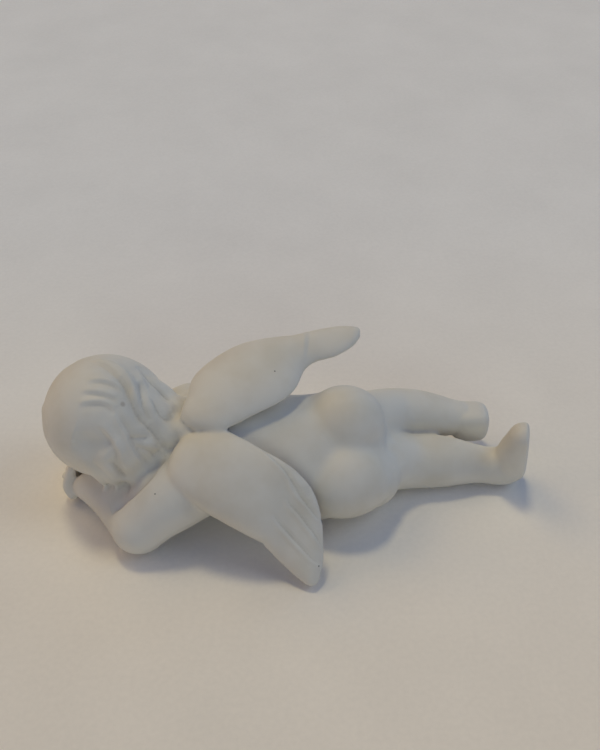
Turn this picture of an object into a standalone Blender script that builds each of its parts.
"""Porcelain angel figurine: a small cherub in bisque, lying on its front with its head on its hands.

One slip-cast piece.  Places, radii and depths below are shares of the figure's length, in 120ths of it: +X
runs from the head to the feet, +Z is up, and the back of the figure leans towards -Y.  The figure rests on
the flat patches of its underside.
"""
import math

import bmesh
import bpy
import numpy as np
from mathutils import Matrix, Vector
from mathutils.bvhtree import BVHTree

for old in list(bpy.data.objects):
    bpy.data.objects.remove(old, do_unlink=True)

MM = 0.001

# length over all in millimetres, and what one share of it comes to
LENGTH = 120.0
SHARE = LENGTH / 120.0

# head: an egg with its crown up and to the left, its face turned down and away
HEAD_CENTRE = Vector((-46.5, 3.0, 22.0))
FACE_WAY = Vector((-0.62, 0.45, -0.64)).normalized()
CROWN_HINT = Vector((-0.75, -0.10, 0.65))
HEAD_HIGH = 17.0
HEAD_DEEP = 15.8
HEAD_WIDE = 15.4

# hips: the body leans over towards its left side
HIP_CENTRE = Vector((11.7, -0.1, 14.4))
HIP_ROLL = math.radians(43.0)

# the sole of the left foot: a point on it and the way it faces
SOLE_SPOT = Vector((56.4, 1.5, 10.0))
SOLE_WAY = Vector((0.97, -0.22, 0.12)).normalized()
SOLE_SOFT = 1.4

# height in the sculpture at which the underside is ground flat
GROUND = 1.0

# how much smaller the seat is when it is laid on again
CRISP = 0.15

# grain of the skin meshes and the triangle budget of the finished solid
FLESH_GRAIN = 0.80
DETAIL_GRAIN = 0.60
TRIANGLES = 9600

CROWN_WAY = (CROWN_HINT - FACE_WAY * CROWN_HINT.dot(FACE_WAY)).normalized()
LEFT_WAY = CROWN_WAY.cross(FACE_WAY)
BACK_WAY = -FACE_WAY
HEAD_WAYS = (LEFT_WAY, FACE_WAY, CROWN_WAY)
HIP_ACROSS = Vector((0.0, math.cos(HIP_ROLL), math.sin(HIP_ROLL)))
HIP_OUT = Vector((0.0, -math.sin(HIP_ROLL), math.cos(HIP_ROLL)))
HIP_WAYS = (Vector((1.0, 0.0, 0.0)), HIP_ACROSS, HIP_OUT)


def keep(name, mesh):
    """Put a mesh into the scene under a name."""
    shape = bpy.data.objects.new(name, mesh)
    bpy.context.scene.collection.objects.link(shape)
    return shape


def bake(shape):
    """Turn an object with its modifiers, or a curve, into a plain mesh object."""
    seen = bpy.context.evaluated_depsgraph_get()
    mesh = bpy.data.meshes.new_from_object(shape.evaluated_get(seen))
    mesh.transform(shape.matrix_world)
    name = shape.name
    bpy.data.objects.remove(shape, do_unlink=True)
    return keep(name, mesh)


def ball(centre, radii, ways=None, square=2.0):
    """An ellipsoid; ways are its three own directions, and a square above 2 makes it a rounded block."""
    bpy.ops.mesh.primitive_uv_sphere_add(segments=28, ring_count=16, radius=1.0)
    shape = bpy.context.object
    for vertex in shape.data.vertices:
        reach = sum(abs(c) ** square for c in vertex.co) ** (1.0 / square)
        vertex.co = vertex.co / reach
    turn = Matrix.Identity(3)
    if ways:
        turn = Matrix(ways).transposed()
    size = Matrix.Diagonal(Vector(radii) * SHARE)
    shape.data.transform((turn @ size).to_4x4())
    shape.data.transform(Matrix.Translation(Vector(centre) * SHARE))
    return shape


def limb(stations):
    """A round limb through stations (x, y, z, radius) with rounded ends."""
    curve = bpy.data.curves.new("limb", "CURVE")
    curve.dimensions = "3D"
    curve.bevel_depth = 1.0
    curve.bevel_resolution = 6
    curve.resolution_u = 10
    curve.use_fill_caps = True
    line = curve.splines.new("BEZIER")
    line.bezier_points.add(len(stations) - 1)
    line.radius_interpolation = "CARDINAL"
    for knot, (x, y, z, radius) in zip(line.bezier_points, stations):
        knot.co = Vector((x, y, z)) * SHARE
        knot.radius = radius * SHARE
        knot.handle_left_type = "AUTO"
        knot.handle_right_type = "AUTO"
    shape = bpy.data.objects.new("limb", curve)
    bpy.context.scene.collection.objects.link(shape)
    parts = [bake(shape)]
    for x, y, z, radius in (stations[0], stations[-1]):
        parts.append(ball((x, y, z), (radius, radius, radius)))
    return parts


def loft(rings):
    """A closed skin over rings of points, all with the same number of points."""
    count = len(rings[0])
    points = [tuple(p * SHARE) for ring in rings for p in ring]
    faces = []
    for row in range(len(rings) - 1):
        for step in range(count):
            here = row * count + step
            beside = row * count + (step + 1) % count
            faces.append((here, beside, beside + count, here + count))
    faces.append(tuple(range(count))[::-1])
    last = (len(rings) - 1) * count
    faces.append(tuple(range(last, last + count)))
    mesh = bpy.data.meshes.new("loft")
    mesh.from_pydata(points, [], faces)
    mesh.validate()
    return keep("loft", mesh)


def finer(stations, times):
    """Stations on a smooth line through the given ones, several for each."""
    rows = [np.array(s, float) for s in stations]
    rows = [2 * rows[0] - rows[1]] + rows + [2 * rows[-1] - rows[-2]]
    out = []
    for a, b, c, d in zip(rows, rows[1:], rows[2:], rows[3:]):
        for step in range(times):
            t = step / times
            out.append(0.5 * ((2 * b) + (c - a) * t + (2 * a - 5 * b + 4 * c - d) * t * t
                              + (3 * b - a - 3 * c + d) * t * t * t))
    out.append(rows[-2])
    return out


def oval_ring(centre, across, out, count=32):
    """An oval of points about a centre; across and out are its half axes."""
    ring = []
    for step in range(count):
        angle = 2.0 * math.pi * step / count
        ring.append(centre + across * math.cos(angle) + out * math.sin(angle))
    return ring


def wing_skin(lead, trail, thick, dome):
    """A wing: sections between the leading and trailing edges, thick in front and domed on top."""
    rings = []
    count = 14
    lead = [Vector(p) for p in finer(lead, 2)]
    trail = [Vector(p) for p in finer(trail, 2)]
    thick = [v[0] for v in finer([(v,) for v in thick], 2)]
    dome = [v[0] for v in finer([(v,) for v in dome], 2)]
    for row, (front, back) in enumerate(zip(lead, trail)):
        before = max(row - 1, 0)
        after = min(row + 1, len(lead) - 1)
        along = (lead[after] + trail[after]) - (lead[before] + trail[before])
        chord = back - front
        up = along.cross(chord).normalized()
        if up.z < 0:
            up = -up
        ring = []
        for step in range(2 * count):
            if step < count:
                across = 0.5 - 0.5 * math.cos(math.pi * step / count)
                side = 1.0
            else:
                across = 0.5 - 0.5 * math.cos(math.pi * (2 * count - step) / count)
                side = -1.0
            body = math.sqrt(max(0.0, 1.0 - abs(2 * across - 1) ** 3)) * (1.15 - 0.45 * across)
            rise = dome[row] * 4 * across * (1 - across) + side * 0.5 * thick[row] * body
            ring.append(front + chord * across + up * rise)
        rings.append(ring)
    return loft(rings)


def weld(name, shapes, grain, passes):
    """Join overlapping closed shapes into one skin and soften where they meet."""
    flat = []
    for shape in shapes:
        if isinstance(shape, list):
            flat.extend(shape)
        else:
            flat.append(shape)
    bpy.ops.object.select_all(action="DESELECT")
    for shape in flat:
        shape.select_set(True)
    bpy.context.view_layer.objects.active = flat[0]
    bpy.ops.object.join()
    whole = bpy.context.object
    whole.name = name
    skin = whole.modifiers.new("skin", "REMESH")
    skin.mode = "VOXEL"
    skin.voxel_size = grain * SHARE
    soft = whole.modifiers.new("soft", "SMOOTH")
    soft.factor = 0.5
    soft.iterations = passes
    return bake(whole)


def carve(shape, strokes):
    """Work the skin along lines; a stroke is (kind, half width, height, points).

    A swell is raised and a dip is sunk; a lap lifts the left side of its line over the right.
    """
    mesh = shape.data
    count = len(mesh.vertices)
    places = np.empty(count * 3)
    mesh.vertices.foreach_get("co", places)
    places = places.reshape(count, 3)
    ways = np.empty(count * 3)
    mesh.vertices.foreach_get("normal", ways)
    ways = ways.reshape(count, 3)
    tree = BVHTree.FromPolygons([v.co for v in mesh.vertices], [p.vertices for p in mesh.polygons])
    shift = np.zeros(count)
    for kind, half, height, points in strokes:
        half = half * SHARE
        line = []
        for point in finer(points, 8):
            line.append(tree.find_nearest(Vector(point) * SHARE)[0])
        line = np.array([tuple(p) for p in line])
        along = np.gradient(line, axis=0)
        fade = np.sin(np.linspace(0.0, math.pi, len(line))) ** 0.5
        low = line.min(axis=0) - 3 * half
        high = line.max(axis=0) + 3 * half
        near = np.where(np.all((places > low) & (places < high), axis=1))[0]
        if len(near) == 0:
            continue
        gaps = np.linalg.norm(places[near][:, None, :] - line[None, :, :], axis=2)
        closest = gaps.argmin(axis=1)
        reach = gaps[np.arange(len(near)), closest]
        dome = np.exp(-(reach / half) ** 2)
        if kind == "lap":
            side = np.einsum("ij,ij->i", places[near] - line[closest], np.cross(ways[near], along[closest]))
            side = side / (np.linalg.norm(along[closest], axis=1) + 1e-9)
            dome = 0.5 * np.tanh(side / (0.5 * half)) * dome
        elif kind == "dip":
            dome = -dome
        shift[near] += height * SHARE * fade[closest] * dome
    places += ways * shift[:, None]
    mesh.vertices.foreach_set("co", places.ravel())
    mesh.update()


def on_head(fall, turn, out=1.0):
    """A point on the head: fall from the crown, turn from the back of the head towards the left ear."""
    fall = math.radians(fall)
    turn = math.radians(turn)
    way = (CROWN_WAY * (HEAD_HIGH * math.cos(fall)) + BACK_WAY * (HEAD_DEEP * math.sin(fall) * math.cos(turn))
           + LEFT_WAY * (HEAD_WIDE * math.sin(fall) * math.sin(turn)))
    return HEAD_CENTRE + way * out


def in_head(left, front, up):
    """A point given in the head's own directions, from its centre."""
    return HEAD_CENTRE + LEFT_WAY * left + FACE_WAY * front + CROWN_WAY * up


def lock(stations):
    """A hair lock over stations (fall, turn, how far out, radius)."""
    return limb([(*on_head(fall, turn, out), radius) for fall, turn, out, radius in stations])


def hair_line(*spots):
    """A line of points over the head, each (fall, turn)."""
    return [on_head(fall, turn) for fall, turn in spots]


# torso: x, y, z of the middle, half width, half depth, lean in degrees
TORSO = [
    (-37.0, 1.6, 17.0, 6.5, 6.5, 18),
    (-31.0, 1.6, 16.8, 11.0, 8.8, 18),
    (-26.0, 1.2, 16.8, 14.0, 10.6, 20),
    (-18.0, -0.6, 16.6, 15.2, 11.6, 25),
    (-9.0, -1.8, 15.4, 15.0, 12.0, 30),
    (0.0, -2.2, 14.5, 15.4, 12.1, 36),
    (7.0, -0.9, 13.8, 15.6, 11.6, 41),
    (13.0, 1.6, 12.7, 13.6, 10.0, 42),
    (18.0, 3.8, 11.7, 10.0, 7.8, 38),
    (22.0, 5.0, 11.2, 4.6, 3.8, 30),
]
torso_rings = []
for x, y, z, wide, deep, lean in finer(TORSO, 2):
    lean = math.radians(lean)
    across = Vector((0.0, math.cos(lean), math.sin(lean)))
    out = Vector((0.0, -math.sin(lean), math.cos(lean)))
    torso_rings.append(oval_ring(Vector((x, y, z)), across * wide, out * deep))
flesh = [loft(torso_rings)]

# seat: place across the hips, shift along them, how proud, radii
SEAT = [
    (-6.9, -1.6, 4.3, (12.2, 9.6, 9.2)),
    (6.9, -0.8, 3.7, (10.0, 9.2, 9.0)),
]
seat = []
for across, along, proud, radii in SEAT:
    spot = HIP_CENTRE + HIP_ACROSS * across + HIP_OUT * proud + Vector((along, 0.0, 0.0))
    seat.append((spot, radii))
    flesh.append(ball(spot, radii, HIP_WAYS))
flesh.append(ball(HIP_CENTRE - Vector((2.4, 0.0, 0.0)), (13.0, 14.8, 10.6), HIP_WAYS))

# legs, from the hip to the ankle, and the left foot with its toes up and away
THIGH = [(12.6, -6.0, 11.2, 8.6), (16.4, -4.1, 10.2, 8.6)]
flesh.append(limb(THIGH))
flesh.append(limb([(13.5, -5.0, 10.8, 8.8), (20.6, 0.2, 9.8, 7.7), (28.3, 3.2, 7.2, 7.0),
                   (37.0, 3.9, 6.6, 6.7),
                   (47.0, 4.0, 5.4, 4.9)]))
flesh.append(limb([(12.0, 6.4, 16.4, 8.2), (19.0, 11.2, 15.2, 7.3), (25.0, 15.2, 13.2, 6.6),
                   (31.0, 16.4, 12.2, 6.1),
                   (38.0, 16.4, 10.7, 5.5), (42.0, 16.4, 10.5, 4.6)]))
flesh.append(limb([(48.5, 3.6, 5.5, 4.9), (52.8, 3.2, 5.4, 4.8), (54.5, 2.0, 12.6, 4.7),
                   (54.9, 0.8, 18.5, 3.8)]))

# arms: shoulder, elbow on the ground, wrist by the cheek
flesh.append(limb([(-23.0, -10.0, 15.2, 8.6), (-31.6, -14.0, 12.0, 8.6), (-38.0, -17.9, 7.2, 6.8)]))
flesh.append(limb([(-37.8, -18.2, 7.0, 6.4), (-45.5, -10.3, 6.6, 5.0), (-53.4, -3.8, 5.6, 3.6)]))
flesh.append(limb([(-28.0, 12.4, 18.0, 6.2), (-34.5, 17.0, 11.5, 5.7), (-41.0, 20.0, 6.2, 5.2)]))
flesh.append(limb([(-41.0, 20.0, 6.2, 5.2), (-47.0, 15.0, 5.0, 4.4), (-53.0, 8.0, 4.3, 3.6),
                   (-57.0, 4.4, 5.0, 3.0)]))

# neck, the flesh under the cheek, and the skull with its cheeks, chin and brow
flesh.append(limb([(-29.0, 1.6, 17.5, 8.6), (-40.0, 2.4, 19.0, 8.6)]))
flesh.append(ball((-40.8, -6.4, 9.0), (8.5, 7.4, 6.8)))
flesh.append(ball(in_head(0.0, 2.6, -2.4), (12.6, 12.4, 14.2), HEAD_WAYS))
flesh.append(ball(in_head(5.4, 9.4, -5.8), (5.2, 4.7, 5.2), HEAD_WAYS))
flesh.append(ball(in_head(-5.4, 9.4, -5.8), (5.2, 4.7, 5.2), HEAD_WAYS))
flesh.append(ball(in_head(0.0, 11.6, -11.6), (3.8, 3.2, 3.0), HEAD_WAYS))
flesh.append(ball(in_head(0.0, 11.0, 3.0), (8.5, 4.2, 5.4), HEAD_WAYS))
body = weld("body", flesh, FLESH_GRAIN, 16)

# wings: stations from the root to the tip along both edges
NEAR_LEAD = [(-29.9, -9.9, 18.0), (-29.3, -12.3, 16.0), (-27.1, -15.2, 15.2), (-22.9, -18.0, 13.8),
             (-18.5, -20.6, 12.8), (-13.8, -22.7, 11.2), (-10.2, -23.9, 9.6), (-7.8, -24.8, 7.9),
             (-5.1, -26.5, 5.6),
             (-1.8, -29.0, 3.8), (1.2, -31.0, 2.5), (2.6, -31.4, 2.1)]
NEAR_TRAIL = [(-29.4, -8.2, 21.6), (-27.8, -6.4, 24.2), (-24.0, -4.6, 26.2), (-18.4, -6.5, 28.1),
              (-13.7, -9.5, 28.3), (-8.8, -12.1, 27.4), (-4.3, -14.2, 25.9), (-0.7, -15.5, 23.6),
              (2.9, -17.7, 20.0),
              (5.0, -21.0, 14.6), (5.6, -26.4, 7.0), (4.4, -30.2, 2.7)]
NEAR_THICK = [5.0, 10.0, 12.0, 11.4, 9.4, 7.4, 6.0, 5.0, 4.2, 3.6, 3.0, 2.2]
NEAR_DOME = [0.0, 0.6, 1.0, 1.2, 1.4, 1.4, 1.2, 0.9, 0.6, 0.3, 0.1, 0.0]
FAR_LEAD = [(-26.0, -3.0, 25.0), (-26.4, -0.9, 28.6), (-26.6, 2.6, 29.4), (-26.3, 6.0, 30.7),
            (-24.8, 8.8, 31.8),
            (-21.9, 11.6, 33.0), (-18.5, 13.8, 34.3), (-14.7, 15.4, 35.5), (-10.5, 16.1, 36.4),
            (-5.9, 16.7, 36.9),
            (-1.4, 17.0, 37.3), (3.3, 18.4, 37.6), (9.2, 19.6, 38.0), (12.9, 19.3, 38.2),
            (14.7, 18.8, 38.0)]
FAR_TRAIL = [(-21.0, -5.0, 25.0), (-22.6, -7.0, 28.0), (-18.7, -8.2, 29.0), (-14.1, -6.4, 29.7),
             (-11.6, -5.1, 30.3),
             (-8.7, -3.6, 30.9), (-5.2, -1.7, 31.4), (-2.4, 0.6, 31.9), (-0.6, 3.4, 32.3), (0.4, 6.2, 32.8),
             (1.6, 8.8, 33.5), (4.3, 10.4, 34.4), (8.6, 11.2, 35.2), (12.9, 13.7, 36.4), (14.8, 16.4, 37.2)]
FAR_THICK = [5.0, 5.6, 5.6, 5.4, 5.2, 5.0, 4.8, 4.5, 4.2, 3.9, 3.6, 3.4, 3.1, 2.8, 2.4]
FAR_DOME = [0.0, 0.6, 1.2, 1.7, 2.0, 2.1, 2.0, 1.6, 1.2, 0.9, 0.6, 0.4, 0.3, 0.1, 0.0]
details = [body]
details.append(wing_skin(NEAR_LEAD, NEAR_TRAIL, NEAR_THICK, NEAR_DOME))
details.append(wing_skin(FAR_LEAD, FAR_TRAIL, FAR_THICK, FAR_DOME))

# the seat and the left thigh are laid on again, a little smaller, so that their edges stay crisp
for spot, radii in seat:
    details.append(ball(spot, [radius - CRISP for radius in radii], HIP_WAYS))
details.append(limb(THIGH))

# the right foot, cut square at the sole
details.append(ball((45.2, 16.0, 9.4), (4.9, 4.4, 4.8), square=3.6))

# hair: a cap over the head, heavy locks falling to the nape and the left cheek, and the mass at the nape
details.append(ball(in_head(0.0, -2.2, 1.4),
                    (HEAD_WIDE - 0.2, HEAD_DEEP - 1.6, HEAD_HIGH - 1.4), HEAD_WAYS))
for side in (-1, 1):
    details.append(lock([(22, side * 150, 0.76, 3.6), (48, side * 124, 0.75, 3.6),
                         (74, side * 110, 0.74, 3.4),
                         (98, side * 100, 0.76, 2.2)]))
LOCKS = [
    [(60, 62, 0.78, 4.2), (80, 66, 0.82, 3.8), (94, 78, 0.90, 2.4), (104, 92, 0.99, 1.2)],
    [(64, 40, 0.78, 4.4), (86, 52, 0.82, 4.2), (100, 66, 0.90, 3.2), (111, 84, 1.00, 1.5)],
    [(70, 26, 0.78, 4.6), (94, 40, 0.82, 4.4), (110, 52, 0.90, 3.4), (121, 68, 1.03, 1.3)],
    [(78, 14, 0.78, 4.6), (104, 26, 0.82, 4.6), (122, 38, 0.92, 3.2), (132, 52, 1.04, 1.5)],
    [(66, -16, 0.76, 4.8), (96, -4, 0.80, 4.8), (124, 2, 0.88, 4.6), (148, 0, 1.00, 3.4)],
    [(62, -44, 0.72, 4.4), (94, -32, 0.76, 4.6), (122, -30, 0.86, 4.4), (146, -36, 0.98, 3.4)],
    [(70, -74, 0.72, 3.8), (98, -64, 0.72, 3.8), (124, -62, 0.76, 3.0), (140, -66, 0.80, 2.0)],
]
for stations in LOCKS:
    details.append(lock(stations))
NAPE = [
    [(-36.0, 1.0, 26.0, 5.6), (-31.0, 2.0, 25.2, 4.8), (-27.6, 3.0, 24.6, 3.8)],
    [(-36.0, -3.0, 24.0, 5.4), (-31.0, -3.0, 22.6, 4.8), (-28.2, -3.2, 21.6, 3.8)],
    [(-42.0, -6.0, 18.0, 6.0), (-37.0, -7.0, 17.0, 5.4), (-33.0, -6.0, 18.0, 5.0)],
    [(-30.0, -2.0, 24.4, 3.8), (-26.2, -4.9, 26.0, 2.7), (-23.6, -6.4, 25.4, 2.2)],
]
for stations in NAPE:
    details.append(limb(stations))

# fingers of the left hand curl up against the cheek, those of the right lie under the chin
for near, low in ((0.0, 0.0), (2.3, -0.5), (4.6, -1.0)):
    details.append(limb([(-57.2, near - 4.4, low + 3.6, 1.7), (-58.3, near - 3.4, low + 5.2, 1.6),
                         (-58.0, near - 2.0, low + 7.0, 1.5), (-57.4, near - 1.0, low + 8.6, 1.4)]))
for near in (3.2, 5.8, 8.4):
    details.append(limb([(-55.0, near, 4.0, 1.7), (-60.0, near - 0.8, 3.0, 1.4)]))

# a plain sleeping face, turned down and away
details.append(limb([(*in_head(0.0, 13.6, 0.6), 1.2), (*in_head(0.0, 15.9, -4.0), 1.6)]))
details.append(ball(in_head(0.0, 14.0, -8.0), (2.4, 1.4, 1.3), HEAD_WAYS))
for side in (-1.0, 1.0):
    details.append(ball(in_head(4.6 * side, 12.7, -1.3), (2.6, 1.8, 2.0), HEAD_WAYS))
    details.append(ball(in_head(1.5 * side, 14.7, -4.5), (1.0, 1.0, 0.9), HEAD_WAYS))
figure = weld("porcelain_angel", details, DETAIL_GRAIN, 5)

carve(figure, [
    # waves over the back of the crown, each lying over the next
    ("lap", 1.7, 1.1, hair_line((46, -10), (56, -12), (65, -11), (73, -7))),
    ("lap", 1.7, 1.2, hair_line((44, 5), (52, 2), (60, 1), (70, 1))),
    ("lap", 1.8, 1.3, hair_line((46, 20), (55, 12), (63, 9), (72, 11))),
    # the wave that turns down into a thin raised lock
    ("swell", 1.2, 0.9, hair_line((48, -45), (61, -36), (69, -28), (77, -17), (82, -8), (86, 0))),
    ("dip", 1.0, 1.0, hair_line((83, -23), (86, -13), (90, -3), (95, 2), (101, 7))),
    # the long parting below it, and the broad locks between it and the far side
    ("dip", 1.2, 1.3, hair_line((67, -20), (75, -11), (81, -2), (89, 6), (103, 13), (114, 17), (122, 16),
                                (132, 18))),
    ("dip", 1.1, 1.1, hair_line((84, -24), (90, -15), (98, -7), (107, -1), (118, 0), (130, 0))),
    ("dip", 1.1, 1.0, hair_line((80, -42), (88, -35), (95, -29), (104, -25), (113, -20), (126, -16))),
    # the heavy lock that falls beside the cheek, with short ones behind it
    ("lap", 1.5, 1.2, hair_line((66, 28), (73, 31), (81, 35), (89, 40), (94, 47), (104, 54))),
    ("lap", 1.5, 1.4, hair_line((124, 46), (116, 42), (106, 37), (96, 31), (87, 23), (79, 18), (72, 12))),
    ("dip", 1.0, 0.8, hair_line((99, 29), (106, 29), (112, 30), (121, 34))),
    # the shallow recess in front of it, and the locks that end above the hand
    ("dip", 3.4, 1.5, hair_line((56, 52), (62, 49), (68, 46), (75, 43), (82, 43))),
    ("dip", 1.0, 1.0, hair_line((86, 51), (94, 54), (103, 59), (111, 63))),
    # shallow waves over the crown, the brow and the far side of the head
    ("dip", 1.5, 0.9, hair_line((24, -72), (44, -76), (66, -72), (90, -64), (116, -58))),
    ("dip", 1.5, 1.0, hair_line((26, -100), (44, -104), (64, -100), (86, -92), (108, -84))),
    ("dip", 1.5, 0.9, hair_line((20, -140), (36, -134), (52, -124), (70, -114), (88, -106))),
    ("dip", 1.5, 0.9, hair_line((20, 180), (34, 170), (48, 158), (62, 146))),
    ("dip", 1.5, 0.9, hair_line((20, 112), (40, 110), (60, 106), (78, 100))),
    # the crease under the edge of the hair, from the cheek to the nape
    ("dip", 1.3, 1.2, hair_line((72, 90), (82, 88), (92, 92), (102, 98), (112, 96), (120, 86), (130, 74),
                                (138, 60),
                                (140, 40))),
    # left wing: long feathers fan out to the tip, and a second row shows past the trailing edge
    ("dip", 0.9, 0.7, [(4.6, -28.3, 5.4), (2.1, -27.4, 7.5), (0.0, -25.8, 9.4), (-2.3, -24.5, 11.7),
                       (-5.0, -23.3, 14.8), (-6.8, -22.4, 17.6)]),
    ("dip", 0.9, 0.7, [(5.0, -26.2, 8.0), (3.0, -24.2, 11.4), (1.4, -23.0, 13.4), (-0.5, -21.9, 16.0),
                       (-2.5, -21.1, 18.3), (-3.4, -20.3, 20.2)]),
    ("dip", 0.9, 0.7, [(5.0, -22.6, 13.0), (3.4, -21.7, 14.6), (1.8, -20.7, 16.6), (0.0, -19.7, 18.8),
                       (-2.0, -18.5, 20.9), (-2.9, -17.4, 22.6)]),
    ("lap", 1.2, 0.9, [(1.6, -20.6, 17.4), (-0.6, -19.3, 20.7), (-2.2, -18.0, 23.2), (-3.8, -16.6, 25.0),
                       (-5.8, -15.1, 26.4), (-8.4, -12.9, 27.3), (-10.8, -11.4, 27.8)]),
    ("dip", 0.9, 0.4, [(-9.6, -24.0, 12.0), (-8.8, -24.7, 10.2), (-8.6, -24.6, 8.0)]),
    # right wing: the step where the tip feather leaves the rest
    ("lap", 1.4, 0.5, [(1.0, 9.6, 34.4), (1.2, 12.0, 36.0), (1.8, 15.6, 37.6), (2.4, 18.0, 38.0)]),
    # the fold behind the left knee
    ("dip", 1.8, 0.5, [(19.5, 2.0, 19.0), (21.4, -1.9, 18.0), (23.5, -2.6, 15.2), (24.7, -4.4, 13.6)]),
])

# the sole of the left foot is cut nearly flat, with soft edges
mesh = figure.data
for vertex in mesh.vertices:
    proud = (vertex.co - SOLE_SPOT * SHARE).dot(SOLE_WAY)
    if proud > 0.0:
        vertex.co -= SOLE_WAY * (0.9 * proud * proud / (proud + SOLE_SOFT * SHARE))

# the underside is ground flat where the figure rests
for vertex in mesh.vertices:
    if vertex.co.z < GROUND * SHARE:
        vertex.co.z = GROUND * SHARE

fine = sum(len(p.vertices) - 2 for p in mesh.polygons)
thin = figure.modifiers.new("thin", "DECIMATE")
thin.ratio = TRIANGLES / fine
figure = bake(figure)
figure.name = "porcelain_angel"
mesh = figure.data
for vertex in mesh.vertices:
    if vertex.co.z < (GROUND + 0.03) * SHARE:
        vertex.co.z = GROUND * SHARE

# each flat patch of the underside becomes one face
shape = bmesh.new()
shape.from_mesh(mesh)
resting = [face for face in shape.faces if all(v.co.z <= (GROUND + 0.0001) * SHARE for v in face.verts)]
inner = [edge for edge in shape.edges if edge.is_manifold and all(face in resting for face in edge.link_faces)]
bmesh.ops.dissolve_edges(shape, edges=inner, use_verts=False)
shape.to_mesh(mesh)
shape.free()

# the origin goes under the middle of the figure
lows = Vector([min(v.co[i] for v in mesh.vertices) for i in range(3)])
highs = Vector([max(v.co[i] for v in mesh.vertices) for i in range(3)])
origin = Vector(((lows.x + highs.x) / 2, (lows.y + highs.y) / 2, lows.z))
mesh.transform(Matrix.Translation(-origin))
mesh.transform(Matrix.Scale(MM, 4))

bisque = bpy.data.materials.new("bisque_porcelain")
bisque.use_nodes = True
surface = bisque.node_tree.nodes["Principled BSDF"]
surface.inputs["Base Color"].default_value = (0.78, 0.76, 0.72, 1.0)
surface.inputs["Roughness"].default_value = 0.75
mesh.materials.clear()
mesh.materials.append(bisque)

group = bpy.data.collections.new("porcelain_angel_figurine")
bpy.context.scene.collection.children.link(group)
bpy.context.scene.collection.objects.unlink(figure)
group.objects.link(figure)
